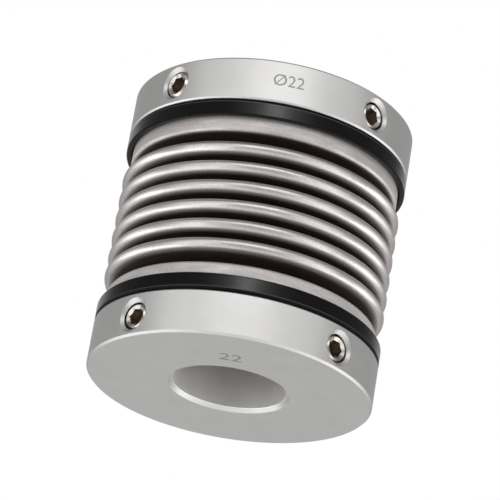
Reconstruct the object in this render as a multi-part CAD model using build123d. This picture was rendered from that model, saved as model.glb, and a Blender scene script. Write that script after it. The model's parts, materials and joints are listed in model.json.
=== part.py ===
from build123d import *
import os

# Set-screw bellows shaft coupling. Millimetres. The Z axis is the shafts' common axis, and the
# origin is the centre of the lower hub's outer face, on which the coupling stands.

# Driving sizes
OUTER_DIAMETER = 55.0
TOTAL_LENGTH = 57.0
SHAFT_DIAMETER = 22.0
CONVOLUTIONS = 6
PITCH = 4.0

# Hub: a thick rim and a spigot that reaches into the bellows
RIM_HEIGHT = 8.7
HUB_LENGTH = 12.0
OUTER_EDGE_CHAMFER = 0.4
INNER_EDGE_CHAMFER = 0.3
SPIGOT_CHAMFER = 0.5
BORE_MOUTH_CHAMFER = 0.75
BORE_END_CHAMFER = 0.5
JOINT_GAP = 0.02  # radial room left between pieces that are pressed together

# Bellows: one thin formed tube, from cuff to cuff
WALL = 0.3
CREST_RADIUS = 27.2
ROOT_RADIUS = 20.3  # outer surface at the bottom of a valley
CUFF_RADIUS = 26.2
CREST_BEND = 1.2
CUFF_BEND = 0.7
CUFF_SHOULDER_GAP = 0.3
END_VALLEY_HALF_WIDTH = 1.15  # the valleys beside the cuffs are wider than the others

# Clamp ring: holds the cuff on the spigot
RING_RADIUS = 27.5
RING_HEIGHT = 3.4
RING_CHAMFER = 0.7
RING_EDGE_CHAMFER = 0.2
RING_MOUTH_DEPTH = 1.0
RING_MOUTH_GAP = 0.35

# Set screws: M6 with a 3 mm key, two in each rim, a quarter turn apart. Screws and tapped holes
# are plain cylinders at about the thread's pitch diameter.
SCREW_ANGLES = {"1": 0.0, "2": -90.0}
SCREW_HEIGHT = 4.3
SCREW_LENGTH = 12.0
SCREW_CLEARANCE = 0.05
TAPPED_RADIUS = 2.75
COUNTERSINK_RADIUS = 3.45
SCREW_END_CHAMFER = 0.5
SCREW_POINT_CHAMFER = 0.9
CUP_RADIUS = 1.5
CUP_DEPTH = 0.7
HEX_ACROSS_FLATS = 3.0
HEX_DEPTH = 3.2
HEX_MOUTH_RADIUS = 2.15
HEX_MOUTH_DEPTH = 0.4
# How far each screw stands below the rim, and how far its hexagon is turned
SCREW_RECESSES = {"lower_1": 0.7, "lower_2": 0.7, "upper_1": 0.8, "upper_2": 0.4}
SCREW_TURNS = {"lower_1": 3.0, "lower_2": -8.0, "upper_1": -7.0, "upper_2": 0.0}
QUARTER_TURN = 90.0

# Sizes that follow from those above
RIM_RADIUS = OUTER_DIAMETER / 2
BORE_RADIUS = SHAFT_DIAMETER / 2
HEX_INSIDE_RADIUS = HEX_ACROSS_FLATS / 2
MIDDLE = TOTAL_LENGTH / 2
SPIGOT_RADIUS = CUFF_RADIUS - WALL - JOINT_GAP
FIRST_CREST = MIDDLE - PITCH * (CONVOLUTIONS - 1) / 2
CRESTS = [FIRST_CREST + PITCH * i for i in range(CONVOLUTIONS)]
FIRST_ROOT = FIRST_CREST - CREST_BEND - END_VALLEY_HALF_WIDTH
ROOTS = [FIRST_ROOT] + [z + PITCH / 2 for z in CRESTS[:-1]] + [TOTAL_LENGTH - FIRST_ROOT]


def lathe(edges):
    """A solid of revolution about Z, from a closed outline drawn in (radius, height)."""
    return revolve(Plane.XZ * make_face(edges), axis=Axis.Z)


def mirrored(shape):
    """The same shape at the coupling's other end."""
    return mirror(shape, about=Plane.XY.offset(MIDDLE))


def radial(angle, radius, height, shape):
    """Stands a shape, made along +Z, on a radius of the coupling."""
    return Rot(0, 0, angle) * Pos(radius, 0, height) * Rot(0, 90, 0) * shape


def hub_outline():
    """Half section of the lower hub: bore, outer face, rim and spigot."""
    return Polyline(
        (BORE_RADIUS + BORE_MOUTH_CHAMFER, 0),
        (RIM_RADIUS - OUTER_EDGE_CHAMFER, 0),
        (RIM_RADIUS, OUTER_EDGE_CHAMFER),
        (RIM_RADIUS, RIM_HEIGHT - INNER_EDGE_CHAMFER),
        (RIM_RADIUS - INNER_EDGE_CHAMFER, RIM_HEIGHT),
        (SPIGOT_RADIUS, RIM_HEIGHT),
        (SPIGOT_RADIUS, HUB_LENGTH - SPIGOT_CHAMFER),
        (SPIGOT_RADIUS - SPIGOT_CHAMFER, HUB_LENGTH),
        (BORE_RADIUS + BORE_END_CHAMFER, HUB_LENGTH),
        (BORE_RADIUS, HUB_LENGTH - BORE_END_CHAMFER),
        (BORE_RADIUS, BORE_MOUTH_CHAMFER),
        close=True,
    )


def tapped_hole():
    """The space of one radial hole, with its countersink, along +Z and ending at the rim."""
    depth = RIM_RADIUS - BORE_RADIUS / 2
    hole = Cylinder(TAPPED_RADIUS, depth, align=(Align.CENTER, Align.CENTER, Align.MAX))
    flare = COUNTERSINK_RADIUS - TAPPED_RADIUS
    reach = 2 * flare  # the cone runs on past the curved rim
    cone = Cone(TAPPED_RADIUS, TAPPED_RADIUS + reach, reach,
                align=(Align.CENTER, Align.CENTER, Align.MIN))
    return hole + Pos(0, 0, -flare) * cone


def lower_hub():
    hub = lathe(hub_outline())
    for angle in SCREW_ANGLES.values():
        hub -= radial(angle, RIM_RADIUS, SCREW_HEIGHT, tapped_hole())
    return hub


def lower_clamp_ring():
    """A ring with a wide chamfer on the hub's side and a relieved mouth on the bellows' side."""
    seat = CUFF_RADIUS + JOINT_GAP
    bottom = RIM_HEIGHT
    top = RIM_HEIGHT + RING_HEIGHT
    return lathe(Polyline(
        (seat, bottom),
        (RING_RADIUS - RING_CHAMFER, bottom),
        (RING_RADIUS, bottom + RING_CHAMFER),
        (RING_RADIUS, top - RING_EDGE_CHAMFER),
        (RING_RADIUS - RING_EDGE_CHAMFER, top),
        (seat + RING_MOUTH_GAP, top),
        (seat, top - RING_MOUTH_DEPTH),
        close=True,
    ))


def cuff_line(inset):
    """One face of the lower cuff: up the cuff, over its bend and down to the first root."""
    foot = RIM_HEIGHT + CUFF_SHOULDER_GAP
    bend = FIRST_ROOT - END_VALLEY_HALF_WIDTH - CUFF_BEND
    bend_centre = (CUFF_RADIUS - CUFF_BEND, bend)
    root_centre = (ROOT_RADIUS + END_VALLEY_HALF_WIDTH, FIRST_ROOT)
    wall_height = bend + CUFF_BEND - inset
    return [
        Line((CUFF_RADIUS - inset, foot), (CUFF_RADIUS - inset, bend)),
        CenterArc(bend_centre, CUFF_BEND - inset, 0, 90),
        Line((bend_centre[0], wall_height), (root_centre[0], wall_height)),
        CenterArc(root_centre, END_VALLEY_HALF_WIDTH + inset, 180, 90),
    ]


def lower_cuff():
    foot = RIM_HEIGHT + CUFF_SHOULDER_GAP
    foot_edge = Line((CUFF_RADIUS, foot), (CUFF_RADIUS - WALL, foot))
    root_edge = Line((ROOT_RADIUS, FIRST_ROOT), (ROOT_RADIUS - WALL, FIRST_ROOT))
    return lathe([*cuff_line(0), *cuff_line(WALL), foot_edge, root_edge])


def convolution_line(low, crest, high, inset):
    """One face of a convolution: root, flank, crest, flank and root."""
    low_bend = crest - CREST_BEND - low
    high_bend = high - crest - CREST_BEND
    crest_centre = (CREST_RADIUS - CREST_BEND, crest)
    low_flank = crest - CREST_BEND + inset
    high_flank = crest + CREST_BEND - inset
    return [
        CenterArc((ROOT_RADIUS + low_bend, low), low_bend + inset, 90, 90),
        Line((ROOT_RADIUS + low_bend, low_flank), (crest_centre[0], low_flank)),
        CenterArc(crest_centre, CREST_BEND - inset, -90, 180),
        Line((crest_centre[0], high_flank), (ROOT_RADIUS + high_bend, high_flank)),
        CenterArc((ROOT_RADIUS + high_bend, high), high_bend + inset, 180, 90),
    ]


def convolution(low, crest, high):
    """One wave of the bellows, from the middle of a valley to the middle of the next."""
    ends = [Line((ROOT_RADIUS, z), (ROOT_RADIUS - WALL, z)) for z in (low, high)]
    outer = convolution_line(low, crest, high, 0)
    inner = convolution_line(low, crest, high, WALL)
    return lathe([*outer, *inner, *ends])


def set_screw():
    """A socket set screw with a cup point, along +Z, its socket end at height 0."""
    radius = TAPPED_RADIUS - SCREW_CLEARANCE
    blank = lathe(Polyline(
        (0, 0),
        (radius - SCREW_END_CHAMFER, 0),
        (radius, -SCREW_END_CHAMFER),
        (radius, SCREW_POINT_CHAMFER - SCREW_LENGTH),
        (radius - SCREW_POINT_CHAMFER, -SCREW_LENGTH),
        (CUP_RADIUS, -SCREW_LENGTH),
        (0, CUP_DEPTH - SCREW_LENGTH),
        close=True,
    ))
    hexagon = RegularPolygon(HEX_INSIDE_RADIUS, 6, major_radius=False)
    socket = Pos(0, 0, -HEX_DEPTH) * extrude(hexagon, HEX_DEPTH)
    mouth = Cone(HEX_INSIDE_RADIUS, HEX_MOUTH_RADIUS, HEX_MOUTH_DEPTH,
                 align=(Align.CENTER, Align.CENTER, Align.MAX))
    return blank - socket - mouth


def placed_screws():
    """The four screws in their holes, by node name."""
    screw = set_screw()
    screws = {}
    for end, height in {"lower": SCREW_HEIGHT, "upper": TOTAL_LENGTH - SCREW_HEIGHT}.items():
        for number, angle in SCREW_ANGLES.items():
            place = f"{end}_{number}"
            turned = Rot(0, 0, SCREW_TURNS[place] + QUARTER_TURN) * screw
            radius = RIM_RADIUS - SCREW_RECESSES[place]
            screws[f"{end}_set_screw_{number}"] = radial(angle, radius, height, turned)
    return screws


def build():
    """Every node of the coupling, by name."""
    one_end = {"hub": lower_hub(), "clamp_ring": lower_clamp_ring(), "bellows_cuff": lower_cuff()}
    nodes = {f"lower_{name}": shape for name, shape in one_end.items()}
    nodes |= {f"upper_{name}": mirrored(shape) for name, shape in one_end.items()}
    nodes |= placed_screws()
    for i, (low, crest, high) in enumerate(zip(ROOTS, CRESTS, ROOTS[1:]), start=1):
        nodes[f"bellows_convolution_{i}"] = convolution(low, crest, high)
    return nodes


os.makedirs("parts", exist_ok=True)
for node, shape in build().items():
    export_step(shape, f"parts/{node}.step")
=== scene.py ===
import json
import math

import bpy
import numpy as np
from mathutils import Matrix, Vector


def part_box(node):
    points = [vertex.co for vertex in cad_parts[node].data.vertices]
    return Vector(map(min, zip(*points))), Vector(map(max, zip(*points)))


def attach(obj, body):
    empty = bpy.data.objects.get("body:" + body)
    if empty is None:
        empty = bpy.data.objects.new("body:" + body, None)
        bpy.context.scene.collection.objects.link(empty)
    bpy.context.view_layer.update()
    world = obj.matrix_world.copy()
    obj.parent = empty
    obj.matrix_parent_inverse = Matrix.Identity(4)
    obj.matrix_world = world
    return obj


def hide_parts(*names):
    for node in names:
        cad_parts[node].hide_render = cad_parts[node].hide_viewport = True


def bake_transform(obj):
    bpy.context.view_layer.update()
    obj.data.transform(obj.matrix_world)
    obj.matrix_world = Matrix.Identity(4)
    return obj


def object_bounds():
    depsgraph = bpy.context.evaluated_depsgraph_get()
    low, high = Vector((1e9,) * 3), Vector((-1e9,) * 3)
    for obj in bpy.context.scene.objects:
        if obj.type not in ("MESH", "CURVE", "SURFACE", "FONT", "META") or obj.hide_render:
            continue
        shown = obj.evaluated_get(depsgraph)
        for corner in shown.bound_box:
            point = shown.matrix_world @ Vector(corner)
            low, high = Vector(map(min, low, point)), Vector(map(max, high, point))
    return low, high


# The looks of a set-screw bellows coupling, built round its CAD frame. Metres. Z is the shafts' axis.

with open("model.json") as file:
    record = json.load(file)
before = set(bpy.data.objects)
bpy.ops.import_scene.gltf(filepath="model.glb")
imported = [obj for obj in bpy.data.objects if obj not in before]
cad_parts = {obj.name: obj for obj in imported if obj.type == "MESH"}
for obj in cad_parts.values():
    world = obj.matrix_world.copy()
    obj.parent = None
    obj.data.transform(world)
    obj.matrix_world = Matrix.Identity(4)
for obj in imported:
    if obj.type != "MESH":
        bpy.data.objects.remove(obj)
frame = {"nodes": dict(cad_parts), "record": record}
CAD_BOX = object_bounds()
MM = 0.001

# Sizes read from the frame
TOTAL_LENGTH = CAD_BOX[1].z
MIDDLE = TOTAL_LENGTH / 2
RIM_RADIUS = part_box("lower_hub")[1].x
HUB_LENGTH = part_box("lower_hub")[1].z
RIM_HEIGHT, RING_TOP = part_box("lower_clamp_ring")[0].z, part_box("lower_clamp_ring")[1].z
RING_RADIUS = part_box("lower_clamp_ring")[1].x
CUFF_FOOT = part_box("lower_bellows_cuff")[0].z
CUFF_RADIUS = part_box("lower_bellows_cuff")[1].x
CREST_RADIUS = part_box("bellows_convolution_1")[1].x
CONVOLUTIONS = sum(node.startswith("bellows_convolution") for node in frame["nodes"])
WAVES = [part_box(f"bellows_convolution_{i + 1}") for i in range(CONVOLUTIONS)]
ROOTS = [low.z for low, high in WAVES] + [WAVES[-1][1].z]
PITCH = ROOTS[2] - ROOTS[1]
CRESTS = [ROOTS[1] + PITCH * (i - 0.5) for i in range(CONVOLUTIONS)]
MOUNTS = {mount["name"]: mount for mount in frame["record"]["mounts"]}
BORE_RADIUS = MOUNTS["lower_bore"]["dims"]["r_mm"] * MM

# Hub details
OUTER_EDGE_CHAMFER = 0.4 * MM
INNER_EDGE_CHAMFER = 0.3 * MM
SPIGOT_CHAMFER = 0.5 * MM
BORE_MOUTH_CHAMFER = 0.75 * MM
BORE_END_CHAMFER = 0.5 * MM
JOINT_GAP = 0.02 * MM

# Bellows details
WALL = 0.3 * MM
ROOT_RADIUS = 20.3 * MM
CREST_BEND = 1.2 * MM
CUFF_BEND = 0.7 * MM
END_VALLEY_HALF_WIDTH = 1.15 * MM

# Clamp ring details
RING_CHAMFER = 0.7 * MM
RING_EDGE_CHAMFER = 0.2 * MM
RING_MOUTH_DEPTH = 1.0 * MM
RING_MOUTH_GAP = 0.35 * MM

# Set screws: M6 with a 3 mm key
SCREW_ANGLES = {"1": 0.0, "2": -90.0}
SCREW_TURNS = {"lower_1": 3.0, "lower_2": -8.0, "upper_1": -7.0, "upper_2": 0.0}
THREAD_PITCH = 1.0 * MM
THREAD_DEPTH = 0.32 * MM
HOLE_THREAD_SHARE = 0.8  # of the screw's own thread depth
SCREW_RADIUS = 2.7 * MM
SCREW_END_CHAMFER = 0.5 * MM
SCREW_POINT_CHAMFER = 0.9 * MM
CUP_RADIUS = 1.5 * MM
CUP_DEPTH = 0.7 * MM
HEX_INSIDE_RADIUS = 1.5 * MM
HEX_DEPTH = 3.2 * MM
HEX_MOUTH_RADIUS = 2.15 * MM
HEX_MOUTH_DEPTH = 0.4 * MM
SOCKET_FLOOR_CONE = 0.35 * MM
TAPPED_RADIUS = 2.75 * MM
COUNTERSINK_RADIUS = 3.45 * MM
THREAD_LEAD_IN = 0.3 * MM
CUTTER_OUTSIDE = 1.2 * MM
CUTTER_INSIDE = RIM_RADIUS - BORE_RADIUS * 0.6

# Generic numerals: on the end face, a little to one side of the middle of the view, and on the upper rim
MARK_DEPTH = 0.05 * MM
FACE_MARK_SIZE = 4.6 * MM
FACE_MARK_RADIUS = 16.6 * MM
FACE_MARK_SIDEWAYS = -0.65 * MM
RIM_MARK_SIZE = 3.4 * MM
RIM_MARK_BELOW_TOP = 4.2 * MM
RIM_MARK_TURN = 3.0

# The camera, from the point on the axis that it looks at
VIEW_AZIMUTH = 46.5
VIEW_ELEVATION = -23.3
VIEW_DISTANCE = 618.0 * MM
VIEW_ROLL = 9.76
VIEW_RIGHT = -0.353 * MM
VIEW_UP = 0.774 * MM
LENS = 229.8
SENSOR_WIDTH = 36

# How bright the room is to everything but the camera, and how far off the lamps stand
ROOM_LIGHT = 0.41
ROOM_LIGHT_BELOW = 1.0
ROOM_LIGHT_ABOVE = 0.24
LAMP_DISTANCE = 0.5

# Mesh fineness
LATHE_SEGMENTS = 360
WAVE_SEGMENTS = 240
SCREW_SEGMENTS = 96
HOLE_SEGMENTS = 72
EDGE_ROUNDING = 0.06 * MM
EDGE_STEPS = 3
EDGE_SUPPORT = 0.05 * MM
SMOOTH_LIMIT = math.radians(28)

# A formed tube's slight unevenness
WAVE_SWELL = 0.012 * MM
WAVE_LIFT = 0.02 * MM

# The floor
FLOOR_SIZE = 0.8
FLOOR_DROP = 0.2 * MM


# ---- outlines ----

def arc(centre, radius, start, sweep, steps):
    """Points on an arc in (radius, height), angles in degrees."""
    angles = np.radians(np.linspace(start, start + sweep, steps + 1))
    return [(centre[0] + radius * math.cos(a), centre[1] + radius * math.sin(a)) for a in angles]


def unit(v):
    return v / np.linalg.norm(v)


def rounded(corners, rounding=EDGE_ROUNDING):
    """A closed outline with a small round at each corner and a support point on both sides of it."""
    points = [np.array(c, float) for c in corners]
    out = []
    for i, corner in enumerate(points):
        back = points[i - 1] - corner
        ahead = points[(i + 1) % len(points)] - corner
        to_back, to_ahead = unit(back), unit(ahead)
        half = math.acos(np.clip(to_back @ to_ahead, -1, 1)) / 2
        reach = min(rounding / math.tan(half), 0.3 * np.linalg.norm(back), 0.3 * np.linalg.norm(ahead))
        radius = reach * math.tan(half)
        centre = corner + unit(to_back + to_ahead) * radius / math.sin(half)
        first, last = corner + to_back * reach - centre, corner + to_ahead * reach - centre
        turn = math.pi - 2 * half
        out.append(corner + to_back * (reach + EDGE_SUPPORT))
        for step in range(EDGE_STEPS + 1):
            share = step / EDGE_STEPS
            a, b = math.sin((1 - share) * turn), math.sin(share * turn)
            out.append(centre + (a * first + b * last) / math.sin(turn))
        out.append(corner + to_ahead * (reach + EDGE_SUPPORT))
    return [tuple(p) for p in out]


def flipped(outline):
    """The same outline at the coupling's other end."""
    return [(r, TOTAL_LENGTH - z) for r, z in reversed(outline)]


def hub_outline():
    spigot = CUFF_RADIUS - WALL - JOINT_GAP
    return rounded([
        (BORE_RADIUS + BORE_MOUTH_CHAMFER, 0),
        (RIM_RADIUS - OUTER_EDGE_CHAMFER, 0),
        (RIM_RADIUS, OUTER_EDGE_CHAMFER),
        (RIM_RADIUS, RIM_HEIGHT - INNER_EDGE_CHAMFER),
        (RIM_RADIUS - INNER_EDGE_CHAMFER, RIM_HEIGHT),
        (spigot, RIM_HEIGHT),
        (spigot, HUB_LENGTH - SPIGOT_CHAMFER),
        (spigot - SPIGOT_CHAMFER, HUB_LENGTH),
        (BORE_RADIUS + BORE_END_CHAMFER, HUB_LENGTH),
        (BORE_RADIUS, HUB_LENGTH - BORE_END_CHAMFER),
        (BORE_RADIUS, BORE_MOUTH_CHAMFER),
    ])


def ring_outline():
    seat = CUFF_RADIUS + JOINT_GAP
    return rounded([
        (seat, RIM_HEIGHT),
        (RING_RADIUS - RING_CHAMFER, RIM_HEIGHT),
        (RING_RADIUS, RIM_HEIGHT + RING_CHAMFER),
        (RING_RADIUS, RING_TOP - RING_EDGE_CHAMFER),
        (RING_RADIUS - RING_EDGE_CHAMFER, RING_TOP),
        (seat + RING_MOUTH_GAP, RING_TOP),
        (seat, RING_TOP - RING_MOUTH_DEPTH),
    ])


def cuff_line(inset):
    """One face of the lower cuff: down its wall from the first root, over the bend, to the foot."""
    bend = (CUFF_RADIUS - CUFF_BEND, ROOTS[0] - END_VALLEY_HALF_WIDTH - CUFF_BEND)
    root = (ROOT_RADIUS + END_VALLEY_HALF_WIDTH, ROOTS[0])
    foot = [(CUFF_RADIUS - inset, z) for z in np.linspace(CUFF_FOOT, bend[1], 8)[:-1]]
    over = arc(bend, CUFF_BEND - inset, 0, 90, 12)
    flank = [(r, over[-1][1]) for r in np.linspace(bend[0], root[0], 6)[1:-1]]
    into = arc(root, END_VALLEY_HALF_WIDTH + inset, 270, -86, 10)
    end = arc(root, END_VALLEY_HALF_WIDTH + inset, 184, -4, 2)
    return foot + over + flank + into + end[1:]


def wave_line(low, crest, high, inset):
    """One face of a convolution, from root to root over the crest."""
    low_bend, high_bend = crest - CREST_BEND - low, high - crest - CREST_BEND
    low_root, high_root = (ROOT_RADIUS + low_bend, low), (ROOT_RADIUS + high_bend, high)
    top = (CREST_RADIUS - CREST_BEND, crest)
    start = arc(low_root, low_bend + inset, 180, -4, 2)
    rise = arc(low_root, low_bend + inset, 176, -86, 8)
    over = arc(top, CREST_BEND - inset, -90, 180, 20)
    fall = arc(high_root, high_bend + inset, 270, -86, 8)
    end = arc(high_root, high_bend + inset, 184, -4, 2)
    flank = np.linspace(0, 1, 5)[1:-1]
    up = [(low_root[0] + (top[0] - low_root[0]) * f, rise[-1][1]) for f in flank]
    down = [(top[0] + (high_root[0] - top[0]) * f, fall[0][1]) for f in flank]
    return start[:-1] + rise + up + over + down + fall + end[1:]


# ---- meshes ----

def make_piece(name, verts, faces, materials, face_material=None):
    """A smooth-shaded mesh object, sharp at its hard edges."""
    mesh = bpy.data.meshes.new(name)
    mesh.from_pydata([tuple(v) for v in verts], [], faces)
    for material in materials:
        mesh.materials.append(material)
    if face_material is not None:
        for polygon in mesh.polygons:
            polygon.material_index = face_material(polygon)
    mesh.shade_smooth()
    mesh.set_sharp_from_angle(angle=SMOOTH_LIMIT)
    piece = bpy.data.objects.new(name, mesh)
    bpy.context.scene.collection.objects.link(piece)
    return piece


def ring_faces(columns, rows, closed_rows):
    """Quads of a grid that closes round its columns, and round its rows too if asked."""
    faces = []
    for c in range(columns):
        n = (c + 1) % columns
        for i in range(rows if closed_rows else rows - 1):
            j = (i + 1) % rows
            faces.append((c * rows + i, n * rows + i, n * rows + j, c * rows + j))
    return faces


def lathe(name, outline, materials, segments=LATHE_SEGMENTS, face_material=None, wobble=None):
    """A closed surface turned about Z from a closed outline that runs anticlockwise."""
    verts = []
    for angle in np.linspace(0, 2 * math.pi, segments, endpoint=False):
        for r, z in outline:
            if wobble:
                r, z = wobble(r, z, angle)
            verts.append((r * math.cos(angle), r * math.sin(angle), z))
    faces = ring_faces(segments, len(outline), True)
    return make_piece(name, verts, faces, materials, face_material)


def radial_frame(angle, radius, height):
    """Takes local (along the arc, up, outward) to a place on a radius of the coupling."""
    a = math.radians(angle)
    along, outward = Vector((-math.sin(a), math.cos(a), 0)), Vector((math.cos(a), math.sin(a), 0))
    matrix = Matrix((along, Vector((0, 0, 1)), outward)).transposed().to_4x4()
    matrix.translation = outward * radius + Vector((0, 0, height))
    return matrix


def thread_wave(depth, angle):
    """0 at a thread's crest and 1 at its root, for one place on a right-hand helix."""
    phase = (depth / THREAD_PITCH + angle / (2 * math.pi)) % 1
    return np.clip(abs(phase - 0.5) * 2 * 1.25 - 0.125, 0, 1)


def hex_reach(angle, phase):
    """Distance from a hexagonal socket's axis to its wall."""
    around = (math.degrees(angle) - phase) % 60
    return HEX_INSIDE_RADIUS / math.cos(math.radians(around - 30))


def screw_rows(angle, length, phase):
    """One line of a set screw, from the socket's floor over the end, down the thread to the cup."""
    wall = hex_reach(angle, phase)
    mouth = HEX_MOUTH_DEPTH * (HEX_MOUTH_RADIUS - wall) / (HEX_MOUTH_RADIUS - HEX_INSIDE_RADIUS)
    rows = [(wall * f, -HEX_DEPTH - SOCKET_FLOOR_CONE * (1 - f)) for f in (0.15, 0.5, 0.94)]
    rows += [(wall, -HEX_DEPTH + EDGE_ROUNDING)]
    rows += [(wall, -HEX_DEPTH + (HEX_DEPTH - mouth) * f) for f in (0.25, 0.5, 0.75, 0.97, 1.0)]
    rows += [(wall + (HEX_MOUTH_RADIUS - wall) * f, -mouth * (1 - f)) for f in (0.06, 0.5, 0.94, 1.0)]
    edge = SCREW_RADIUS - SCREW_END_CHAMFER
    rows += [(HEX_MOUTH_RADIUS + (edge - HEX_MOUTH_RADIUS) * f, 0) for f in (0.4, 1.0)]
    rows += [(edge + SCREW_END_CHAMFER * f, -SCREW_END_CHAMFER * f) for f in (0.1, 0.5, 1.0)]
    threaded = length - SCREW_END_CHAMFER - SCREW_POINT_CHAMFER
    steps = round(threaded / THREAD_PITCH * 10)
    for step in range(1, steps):
        depth = threaded * step / steps
        fade = min(1, depth / (0.5 * THREAD_PITCH), (threaded - depth) / (0.5 * THREAD_PITCH))
        cut = THREAD_DEPTH * thread_wave(depth, angle) * fade
        rows.append((SCREW_RADIUS - cut, -SCREW_END_CHAMFER - depth))
    tip = SCREW_RADIUS - SCREW_POINT_CHAMFER
    rows += [(SCREW_RADIUS, -length + SCREW_POINT_CHAMFER), (tip, -length), (CUP_RADIUS, -length)]
    rows += [(CUP_RADIUS * f, -length + CUP_DEPTH * (1 - f)) for f in (0.6, 0.2)]
    return rows


def set_screw(name, phase, length, materials):
    """A cup-point set screw along local Z, its socket end at 0, closed at both ends."""
    verts = []
    for angle in np.linspace(0, 2 * math.pi, SCREW_SEGMENTS, endpoint=False):
        rows = screw_rows(angle, length, phase)
        verts += [(r * math.cos(angle), r * math.sin(angle), z) for r, z in rows]
    count = len(rows)
    faces = [tuple(reversed(f)) for f in ring_faces(SCREW_SEGMENTS, count, False)]
    floor, cup = len(verts), len(verts) + 1
    verts += [(0, 0, -HEX_DEPTH - SOCKET_FLOOR_CONE), (0, 0, -length + CUP_DEPTH)]
    for c in range(SCREW_SEGMENTS):
        n = (c + 1) % SCREW_SEGMENTS
        faces.append((floor, c * count, n * count))
        faces.append((cup, n * count + count - 1, c * count + count - 1))

    # Faces inside the hex socket take the darker painted-shade material.
    def in_socket(polygon):
        inside = polygon.center.xy.length < HEX_INSIDE_RADIUS * 1.16
        return 1 if inside and -HEX_DEPTH * 1.2 < polygon.center.z < -0.3 * MM else 0

    return make_piece(name, verts, faces, materials, in_socket)


def hole_cutter(name, angle, height, materials):
    """The space of one tapped hole and its countersink, from outside the rim to inside the bore.

    Its thread is cut outward from the plain radius, so a screw that slides never meets it.
    """
    flare = COUNTERSINK_RADIUS - TAPPED_RADIUS
    steps = round((CUTTER_INSIDE - flare) / THREAD_PITCH * 8)
    verts = []
    for a in np.linspace(0, 2 * math.pi, HOLE_SEGMENTS, endpoint=False):
        rows = [(COUNTERSINK_RADIUS + CUTTER_OUTSIDE, CUTTER_OUTSIDE), (TAPPED_RADIUS, -flare)]
        for step in range(1, steps):
            depth = (CUTTER_INSIDE - flare) * step / steps
            groove = THREAD_DEPTH * HOLE_THREAD_SHARE * thread_wave(depth, a)
            rows.append((TAPPED_RADIUS + groove, -flare - depth))
        rows.append((TAPPED_RADIUS, -CUTTER_INSIDE))
        verts += [(r * math.cos(a), r * math.sin(a), z) for r, z in rows]
    count = len(rows)
    faces = [tuple(reversed(f)) for f in ring_faces(HOLE_SEGMENTS, count, False)]
    faces.append(tuple(c * count for c in range(HOLE_SEGMENTS)))
    faces.append(tuple(reversed([c * count + count - 1 for c in range(HOLE_SEGMENTS)])))

    # Thread faces take the near-black painted-shade material.
    def in_thread(polygon):
        return 1 if polygon.center.z < -flare - THREAD_LEAD_IN else 0

    cutter = make_piece(name, verts, faces, materials, in_thread)
    cutter.data.transform(radial_frame(angle, RIM_RADIUS, height))
    return cutter


def mark_cutter(name, text, size, depth, wrap_radius, matrix, materials):
    """A shallow cut in the shape of generic numerals. With wrap_radius, it follows that cylinder."""
    curve = bpy.data.curves.new(name, "FONT")
    curve.body = text
    curve.size = size
    curve.align_x, curve.align_y = "CENTER", "CENTER"
    curve.extrude = depth
    curve.resolution_u = 6
    written = bpy.data.objects.new(name + "_text", curve)
    mesh = bpy.data.meshes.new_from_object(written)
    bpy.data.objects.remove(written)
    mesh.materials.clear()
    for material in materials:
        mesh.materials.append(material)
    if wrap_radius:
        for vertex in mesh.vertices:
            x, y, z = vertex.co
            turn = x / wrap_radius
            out = wrap_radius + z
            vertex.co = (out * math.sin(turn), y, out * math.cos(turn) - wrap_radius)
    mesh.transform(matrix)
    cutter = bpy.data.objects.new(name, mesh)
    bpy.context.scene.collection.objects.link(cutter)
    return cutter


def cut_away(piece, cutters):
    """Takes the cutters' spaces out of a piece, for good."""
    for cutter in cutters:
        modifier = piece.modifiers.new(cutter.name, "BOOLEAN")
        modifier.object = cutter
        modifier.operation = "DIFFERENCE"
        modifier.solver = "EXACT"
        modifier.material_mode = "TRANSFER"
    bpy.context.view_layer.update()
    whole = piece.evaluated_get(bpy.context.evaluated_depsgraph_get())
    mesh = bpy.data.meshes.new_from_object(whole)
    piece.modifiers.clear()
    old, piece.data = piece.data, mesh
    mesh.name = old.name + "_cut"
    for cutter in cutters:
        bpy.data.objects.remove(cutter)
    mesh.shade_smooth()
    mesh.set_sharp_from_angle(angle=SMOOTH_LIMIT)


# ---- materials ----

def new_material(name, **values):
    """A material with a Principled shader, its uniform values set on its own sockets."""
    material = bpy.data.materials.new(name)
    material.use_nodes = True
    shader = material.node_tree.nodes["Principled BSDF"]
    for socket, value in values.items():
        shader.inputs[socket.replace("_", " ")].default_value = value
    return material, material.node_tree, shader


def node(tree, kind, inputs=None, **settings):
    """A new node, with its settings, and its inputs linked or set."""
    made = tree.nodes.new(kind)
    for key, value in settings.items():
        setattr(made, key, value)
    for key, value in (inputs or {}).items():
        if isinstance(value, bpy.types.NodeSocket):
            tree.links.new(value, made.inputs[key])
        else:
            made.inputs[key].default_value = value
    return made


def maths(tree, operation, *values):
    return node(tree, "ShaderNodeMath", dict(enumerate(values)), operation=operation).outputs[0]


def turned_coordinates(tree, round_scale):
    """A point's place, its radius, and coordinates that change slowly round the axis."""
    place = node(tree, "ShaderNodeTexCoord").outputs["Object"]
    split = node(tree, "ShaderNodeSeparateXYZ", {0: place})
    flat = node(tree, "ShaderNodeCombineXYZ", {0: split.outputs[0], 1: split.outputs[1]})
    radius = node(tree, "ShaderNodeVectorMath", {0: flat.outputs[0]}, operation="LENGTH").outputs["Value"]
    around = node(tree, "ShaderNodeVectorMath", {0: flat.outputs[0]}, operation="NORMALIZE").outputs[0]
    scaled = node(tree, "ShaderNodeVectorMath", {0: around, 1: (round_scale,) * 3}, operation="MULTIPLY")
    axial = node(tree, "ShaderNodeCombineXYZ", {0: radius, 2: split.outputs[2]})
    return place, radius, node(tree, "ShaderNodeVectorMath", {0: axial.outputs[0], 1: scaled.outputs[0]},
                               operation="ADD").outputs[0]


def noise(tree, vector, scale, detail=2.0, roughness=0.5):
    return node(tree, "ShaderNodeTexNoise", {"Vector": vector, "Scale": scale, "Detail": detail,
                                             "Roughness": roughness}).outputs["Fac"]


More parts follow.
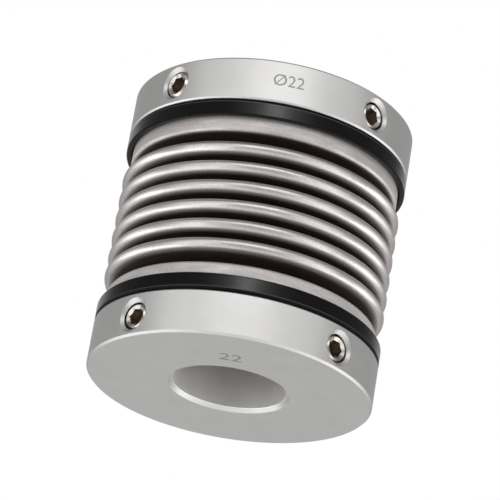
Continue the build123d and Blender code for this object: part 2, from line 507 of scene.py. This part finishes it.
def remap(tree, value, low, high, to_low, to_high, smooth=False):
    kind = "SMOOTHSTEP" if smooth else "LINEAR"
    return node(tree, "ShaderNodeMapRange", {0: value, 1: low, 2: high, 3: to_low, 4: to_high},
                interpolation_type=kind).outputs[0]


def mix_colours(tree, share, first, second):
    made = node(tree, "ShaderNodeMix", data_type="RGBA")
    for key, value in (("Factor", share), ("A", first), ("B", second)):
        socket = [s for s in made.inputs if s.name == key and s.enabled][0]
        if isinstance(value, bpy.types.NodeSocket):
            tree.links.new(value, socket)
        else:
            socket.default_value = value
    return [s for s in made.outputs if s.enabled][0]


def bump(tree, height, strength, distance, under=None):
    inputs = {"Height": height, "Strength": strength, "Distance": distance}
    if under is not None:
        inputs["Normal"] = under
    return node(tree, "ShaderNodeBump", inputs).outputs[0]


def turned_aluminium(name, colour, darker, roughness, spread, line_depth, grain_depth,
                     metallic=1.0):
    """Turned and anodised aluminium: fine lines round the axis over a soft grain."""
    material, tree, shader = new_material(name, Metallic=metallic)
    place, radius, turned = turned_coordinates(tree, 0.0004)
    cloud = noise(tree, place, 160.0, 3.0)
    lines = noise(tree, turned, 5200.0, 3.0, 0.65)
    grain = noise(tree, place, 9000.0, 1.0)
    tree.links.new(mix_colours(tree, remap(tree, cloud, 0.3, 0.7, 0, 1), colour, darker),
                   shader.inputs["Base Color"])
    tree.links.new(remap(tree, lines, 0.25, 0.75, roughness - spread, roughness + spread),
                   shader.inputs["Roughness"])
    lined = bump(tree, lines, 1.0, line_depth)
    tree.links.new(bump(tree, grain, 1.0, grain_depth, lined), shader.inputs["Normal"])
    return material


def black_anodised(name):
    """Satin black anodising with a faint turned grain, and a grey line along the edge between chamfer and
    band: a painted highlight that also stands for worn anodising.
    """
    material, tree, shader = new_material(name, Metallic=0.0, IOR=1.22)
    place, radius, turned = turned_coordinates(tree, 0.0006)
    lines = noise(tree, turned, 4200.0, 3.0, 0.6)
    cloud = noise(tree, place, 300.0, 3.0)
    black = mix_colours(tree, cloud, (0.0022, 0.0021, 0.0023, 1), (0.0046, 0.0044, 0.0048, 1))
    height = node(tree, "ShaderNodeSeparateXYZ", {0: place}).outputs[2]
    from_end = maths(tree, "MINIMUM", height, maths(tree, "SUBTRACT", TOTAL_LENGTH, height))
    off_edge = maths(tree, "ABSOLUTE", maths(tree, "SUBTRACT", from_end, RIM_HEIGHT + RING_CHAMFER))
    on_rim = remap(tree, radius, RING_RADIUS - 0.16 * MM, RING_RADIUS - 0.02 * MM, 0, 1)
    # Painted highlight and wear: a grey line along the ring's edge between its chamfer and its band.
    wear_and_edge_glint = maths(tree, "MULTIPLY", remap(tree, off_edge, 0.03 * MM, 0.13 * MM, 1, 0, True), on_rim)
    tree.links.new(mix_colours(tree, wear_and_edge_glint, black, (0.045, 0.041, 0.047, 1)), shader.inputs["Base Color"])
    tree.links.new(remap(tree, lines, 0.25, 0.75, 0.26, 0.36), shader.inputs["Roughness"])
    tree.links.new(bump(tree, lines, 1.0, 0.0012 * MM), shader.inputs["Normal"])
    return material


def bellows_steel(name):
    """Formed stainless steel: satin and warm, mottled along the crests, with painted shade darkening it to
    brown in the valleys.
    """
    material, tree, shader = new_material(name, Metallic=1.0)
    place, radius, turned = turned_coordinates(tree, 0.004)
    mottle = noise(tree, turned, 900.0, 4.0, 0.6)
    cloud = noise(tree, place, 140.0, 2.0)
    lines = noise(tree, turned, 3600.0, 3.0, 0.6)
    grain = noise(tree, place, 3800.0, 2.0)
    steel = mix_colours(tree, remap(tree, mottle, 0.35, 0.65, 0, 1),
                        (0.64, 0.612, 0.594, 1), (0.49, 0.467, 0.453, 1))
    steel = mix_colours(tree, remap(tree, cloud, 0.4, 0.6, 0, 0.35), steel, (0.57, 0.552, 0.556, 1))
    steel = mix_colours(tree, remap(tree, grain, 0.5, 0.68, 0, 0.5), steel, (0.36, 0.345, 0.338, 1))
    # Painted shade: the colour darkens to a dark brown from the crests towards the roots, standing in for the
    # shade deep in the valleys.
    depth = remap(tree, radius, CREST_RADIUS - 2.4 * MM, CREST_RADIUS - 0.95 * MM, 1, 0, True)
    tree.links.new(mix_colours(tree, depth, steel, (0.15, 0.115, 0.104, 1)), shader.inputs["Base Color"])
    polished = remap(tree, mottle, 0.3, 0.7, 0.30, 0.42)
    unpolished = remap(tree, radius, CREST_RADIUS - 1.1 * MM, CREST_RADIUS - 0.3 * MM, 0.22, 0, True)
    tree.links.new(maths(tree, "ADD", polished, unpolished), shader.inputs["Roughness"])
    lined = bump(tree, lines, 1.0, 0.0016 * MM)
    grained = bump(tree, grain, 1.0, 0.009 * MM, lined)
    tree.links.new(bump(tree, mottle, 1.0, 0.01 * MM, grained), shader.inputs["Normal"])
    return material


def nickel(name, colour, roughness):
    """Bright nickel plate, a little uneven, with fine scratches."""
    material, tree, shader = new_material(name, Metallic=1.0)
    place = node(tree, "ShaderNodeTexCoord").outputs["Object"]
    cloud = noise(tree, place, 700.0, 3.0)
    grain = noise(tree, place, 5000.0, 2.0)
    darker = tuple(c * 0.8 for c in colour[:3]) + (1,)
    tree.links.new(mix_colours(tree, remap(tree, cloud, 0.35, 0.65, 0, 1), colour, darker),
                   shader.inputs["Base Color"])
    tree.links.new(remap(tree, grain, 0.3, 0.7, roughness * 0.8, roughness * 1.3), shader.inputs["Roughness"])
    tree.links.new(bump(tree, cloud, 1.0, 0.01 * MM), shader.inputs["Normal"])
    return material


def pale_floor(name):
    """A pale floor that fades out far away, and isn't there for a camera below it."""
    material, tree, shader = new_material(name, Roughness=0.9)
    place = node(tree, "ShaderNodeTexCoord").outputs["Object"]
    cloud = noise(tree, place, 6.0)
    tree.links.new(mix_colours(tree, cloud, (0.86, 0.86, 0.86, 1), (0.9, 0.9, 0.895, 1)),
                   shader.inputs["Base Color"])
    reach = node(tree, "ShaderNodeVectorMath", {0: place}, operation="LENGTH").outputs["Value"]
    far = remap(tree, reach, 0.12, 0.5, 0, 1, True)
    behind = node(tree, "ShaderNodeNewGeometry").outputs["Backfacing"]
    clear = node(tree, "ShaderNodeBsdfTransparent")
    share = maths(tree, "MAXIMUM", far, behind)
    mixed = node(tree, "ShaderNodeMixShader", {0: share, 1: shader.outputs[0], 2: clear.outputs[0]})
    tree.links.new(mixed.outputs[0], tree.nodes["Material Output"].inputs["Surface"])
    return material


HUB_SKIN = turned_aluminium("hub_anodised", (0.602, 0.597, 0.586, 1), (0.572, 0.567, 0.556, 1),
                            0.44, 0.03, 0.0008 * MM, 0.0008 * MM)
HUB_CUT = turned_aluminium("hub_bright_cut", (0.66, 0.66, 0.655, 1), (0.58, 0.58, 0.575, 1),
                           0.40, 0.05, 0.0012 * MM, 0.0004 * MM)
HUB_BORE = turned_aluminium("hub_bored", (0.90, 0.89, 0.88, 1), (0.84, 0.83, 0.82, 1),
                            0.46, 0.06, 0.0012 * MM, 0.0004 * MM, metallic=0.84)
HUB_MARK = turned_aluminium("hub_mark", (0.36, 0.36, 0.36, 1), (0.30, 0.30, 0.30, 1),
                            0.6, 0.05, 0.0008 * MM, 0.002 * MM)
HUB_SUNK = turned_aluminium("hub_countersunk", (0.575, 0.568, 0.56, 1), (0.50, 0.495, 0.485, 1),
                            0.44, 0.06, 0.0012 * MM, 0.001 * MM)
# Painted shade: the tapped thread below the countersink is near black, standing in for the shade inside the
# hole.
HUB_THREAD_SHADE = turned_aluminium("hub_tapped_painted_shade", (0.10, 0.09, 0.085, 1), (0.07, 0.065, 0.06, 1),
                              0.5, 0.05, 0.0012 * MM, 0.0004 * MM)
HUB_FINISHES = [HUB_SKIN, HUB_CUT, HUB_MARK, HUB_BORE, HUB_SUNK, HUB_THREAD_SHADE]
RING_SKIN = black_anodised("ring_anodised")
STEEL = bellows_steel("bellows_steel")
SCREW_SKIN = nickel("screw_nickel", (0.60, 0.565, 0.535, 1), 0.2)
# Painted shade: the hex socket's walls and floor are a darker brown nickel, standing in for the shade inside
# the socket.
SOCKET_SHADE = nickel("screw_socket_painted_shade", (0.40, 0.33, 0.27, 1), 0.34)


# ---- the pieces ----

def wave_wobble(r, z, angle):
    """The slight unevenness of a formed tube, nil at the cuffs' feet."""
    share = np.clip((r - ROOT_RADIUS) / (CREST_RADIUS - ROOT_RADIUS), 0, 1)
    inside = np.clip(min(z - ROOTS[0], ROOTS[-1] - z) / PITCH, 0, 1)
    swell = math.sin(3 * angle + 900 * z) + 0.7 * math.sin(7 * angle - 1700 * z)
    lift = math.sin(2 * angle + 2100 * z) + 0.6 * math.sin(5 * angle + 1300 * z)
    return r - WAVE_SWELL * share * inside * (1.7 + swell), z + WAVE_LIFT * share * inside * lift


def hub_surface(polygon):
    """A hub face's finish: bright-cut at the bore's mouth, bored in the bore, or the anodised skin."""
    radius = math.hypot(*polygon.center.xy)
    height = min(polygon.center.z, TOTAL_LENGTH - polygon.center.z)
    if radius < BORE_RADIUS + EDGE_SUPPORT:
        return HUB_FINISHES.index(HUB_BORE)
    at_mouth = radius < BORE_RADIUS + BORE_MOUTH_CHAMFER and height < BORE_MOUTH_CHAMFER
    return HUB_FINISHES.index(HUB_CUT if at_mouth else HUB_SKIN)


def screw_height(end):
    low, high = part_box(f"{end}_set_screw_1")
    return (low.z + high.z) / 2


def view_turned(height, distance, facing_down):
    """A place on an end face, on the side that the camera is on, with numerals upright to it."""
    a = math.radians(VIEW_AZIMUTH)
    towards, across = Vector((math.sin(a), -math.cos(a), 0)), Vector((math.cos(a), math.sin(a), 0))
    normal = Vector((0, 0, -1 if facing_down else 1))
    matrix = Matrix((across, towards, normal)).transposed().to_4x4()
    matrix.translation = towards * distance + Vector((0, 0, height))
    return matrix


def hub(end):
    outline = hub_outline() if end == "lower" else flipped(hub_outline())
    piece = lathe(f"{end}_hub_turned", outline, HUB_FINISHES,
                  face_material=hub_surface)
    cutters = [hole_cutter(f"{end}_hole_{number}", angle, screw_height(end), [HUB_SUNK, HUB_THREAD_SHADE])
               for number, angle in SCREW_ANGLES.items()]
    if end == "lower":
        place = view_turned(0, FACE_MARK_RADIUS, True) @ Matrix.Translation((FACE_MARK_SIDEWAYS, 0, 0))
        cutters.append(mark_cutter("face_mark", "22", FACE_MARK_SIZE, MARK_DEPTH, None, place, [HUB_MARK]))
    else:
        place = radial_frame(VIEW_AZIMUTH - 90 + RIM_MARK_TURN, RIM_RADIUS,
                             TOTAL_LENGTH - RIM_MARK_BELOW_TOP)
        cutters.append(mark_cutter("rim_mark", "Ø22", RIM_MARK_SIZE, MARK_DEPTH, RIM_RADIUS, place,
                                   [HUB_MARK]))
    cut_away(piece, cutters)
    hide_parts(f"{end}_hub")
    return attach(piece, f"{end}_end")


def clamp_ring(end):
    outline = ring_outline() if end == "lower" else flipped(ring_outline())
    piece = lathe(f"{end}_clamp_ring_turned", outline, [RING_SKIN])
    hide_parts(f"{end}_clamp_ring")
    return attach(piece, f"{end}_end")


def cuff(end):
    outline = list(reversed(cuff_line(WALL))) + cuff_line(0)
    outline = outline if end == "lower" else flipped(outline)
    piece = lathe(f"{end}_bellows_cuff_formed", outline, [STEEL], WAVE_SEGMENTS)
    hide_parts(f"{end}_bellows_cuff")
    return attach(piece, f"{end}_end")


def convolution(number):
    low, crest, high = ROOTS[number - 1], CRESTS[number - 1], ROOTS[number]
    outline = wave_line(low, crest, high, 0) + list(reversed(wave_line(low, crest, high, WALL)))
    piece = lathe(f"bellows_convolution_{number}_formed", outline, [STEEL], WAVE_SEGMENTS, wobble=wave_wobble)
    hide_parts(f"bellows_convolution_{number}")
    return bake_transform(piece)


def screw(end, number):
    low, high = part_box(f"{end}_set_screw_{number}")
    angle = SCREW_ANGLES[number]
    outer, inner = (high.x, low.x) if number == "1" else (-low.y, -high.y)
    piece = set_screw(f"{end}_set_screw_{number}_plated", SCREW_TURNS[f"{end}_{number}"],
                      outer - inner, [SCREW_SKIN, SOCKET_SHADE])
    piece.data.transform(radial_frame(angle, outer, screw_height(end)))
    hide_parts(f"{end}_set_screw_{number}")
    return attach(piece, f"{end}_screw_{number}")


RINGS, BELLOWS = [], []
for side in ("lower", "upper"):
    hub(side)
    RINGS.append(clamp_ring(side))
    BELLOWS.append(cuff(side))
    for which in SCREW_ANGLES:
        screw(side, which)
for wave in range(1, CONVOLUTIONS + 1):
    BELLOWS.append(convolution(wave))


# ---- camera, floor and light ----

def direction(azimuth, elevation):
    """Unit vector from the object: azimuth 0 is -Y and 90 is +X."""
    a, e = math.radians(azimuth), math.radians(elevation)
    return Vector((math.sin(a) * math.cos(e), -math.cos(a) * math.cos(e), math.sin(e)))


def add_camera():
    back = direction(VIEW_AZIMUTH, VIEW_ELEVATION)
    right = direction(VIEW_AZIMUTH + 90, 0)
    up = back.cross(right)
    roll = math.radians(VIEW_ROLL)
    right, up = right * math.cos(roll) + up * math.sin(roll), up * math.cos(roll) - right * math.sin(roll)
    data = bpy.data.cameras.new("camera")
    data.lens = LENS
    data.sensor_width = SENSOR_WIDTH
    camera = bpy.data.objects.new("camera", data)
    matrix = Matrix((right, up, back)).transposed().to_4x4()
    matrix.translation = Vector((0, 0, MIDDLE)) + back * VIEW_DISTANCE + right * VIEW_RIGHT + up * VIEW_UP
    camera.matrix_world = matrix
    bpy.context.scene.collection.objects.link(camera)
    bpy.context.scene.camera = camera


def add_floor():
    size = FLOOR_SIZE
    corners = [(-size, -size), (size, -size), (size, size), (-size, size)]
    mesh = bpy.data.meshes.new("floor")
    mesh.from_pydata([(x, y, -FLOOR_DROP) for x, y in corners], [], [(0, 1, 2, 3)])
    mesh.materials.append(pale_floor("pale_floor"))
    floor = bpy.data.objects.new("floor", mesh)
    bpy.context.scene.collection.objects.link(floor)
    floor.visible_diffuse = floor.visible_glossy = floor.visible_shadow = False


def soft_box(name, azimuth, elevation, width, height, radiance, only=None, without=None):
    """A rectangular lamp that faces the coupling's middle, its azimuth counted from the view's."""
    lamp = bpy.data.lights.new(name, "AREA")
    lamp.shape = "RECTANGLE"
    lamp.size, lamp.size_y = width, height
    lamp.energy = radiance * width * height * math.pi
    box = bpy.data.objects.new(name, lamp)
    towards = direction(VIEW_AZIMUTH + azimuth, elevation)
    box.location = Vector((0, 0, MIDDLE)) + towards * LAMP_DISTANCE
    box.rotation_mode = "QUATERNION"
    box.rotation_quaternion = towards.to_track_quat("Z", "Y")
    bpy.context.scene.collection.objects.link(box)
    box.visible_camera = False
    for pieces, state in ((only, "INCLUDE"), (without, "EXCLUDE")):
        if pieces:
            group = bpy.data.collections.new(name + "_" + state.lower())
            for piece in pieces:
                group.objects.link(piece)
            for entry in group.collection_objects:
                entry.light_linking.link_state = state
            box.light_linking.receiver_collection = group


def add_world():
    """White to the camera; an even grey room, brighter underfoot, for everything else."""
    world = bpy.data.worlds.new("studio")
    bpy.context.scene.world = world
    world.use_nodes = True
    tree = world.node_tree
    seen = node(tree, "ShaderNodeTexCoord").outputs["Generated"]
    height = node(tree, "ShaderNodeSeparateXYZ", {0: seen}).outputs[2]
    below = remap(tree, height, -0.2, -0.85, 0, ROOM_LIGHT_BELOW - ROOM_LIGHT, True)
    above = remap(tree, height, 0.5, 0.85, ROOM_LIGHT, ROOM_LIGHT_ABOVE, True)
    room = maths(tree, "ADD", above, below)
    ray = node(tree, "ShaderNodeLightPath").outputs["Is Camera Ray"]
    unseen = maths(tree, "MULTIPLY", room, maths(tree, "SUBTRACT", 1.0, ray))
    background = tree.nodes["Background"]
    background.inputs["Color"].default_value = (1, 1, 1, 1)
    tree.links.new(maths(tree, "ADD", unseen, ray), background.inputs["Strength"])


add_camera()
add_floor()
add_world()
# Lamps, by azimuth, elevation, width, height and radiance. Some light only some of the pieces.
soft_box("front_box", 0, 27, 0.44, 0.28, 1.65)
soft_box("left_box", -47, -9, 0.38, 0.26, 1.35, without=RINGS)
soft_box("right_box", 47, -9, 0.38, 0.26, 1.35, without=RINGS)
soft_box("left_high_box", -50, 25, 0.34, 0.26, 0.75, without=RINGS)
soft_box("right_high_box", 50, 25, 0.34, 0.26, 0.6, without=RINGS)
soft_box("left_low_box", -65, -40, 0.34, 0.26, 1.0, without=RINGS)
soft_box("right_low_box", 65, -40, 0.34, 0.26, 0.8, without=RINGS)
soft_box("left_side_box", -102, -25, 0.34, 0.34, 1.2, without=RINGS)
soft_box("right_side_box", 102, -25, 0.34, 0.34, 1.4, without=RINGS)
soft_box("left_bellows_box", -108, -5, 0.3, 0.4, 0.9, only=BELLOWS)
soft_box("right_bellows_box", 108, -5, 0.3, 0.4, 0.9, only=BELLOWS)
soft_box("top_box", 0, 72, 0.5, 0.36, 0.4, without=BELLOWS)
soft_box("ring_box", 0, 25, 0.1, 0.4, 17.0, only=RINGS)
for ring_side in (-1, 1):
    soft_box(f"ring_back_box_{ring_side + 1}", 150 * ring_side, 20, 0.26, 0.4, 0.7, only=RINGS)

bpy.context.scene.view_settings.view_transform = "Standard"
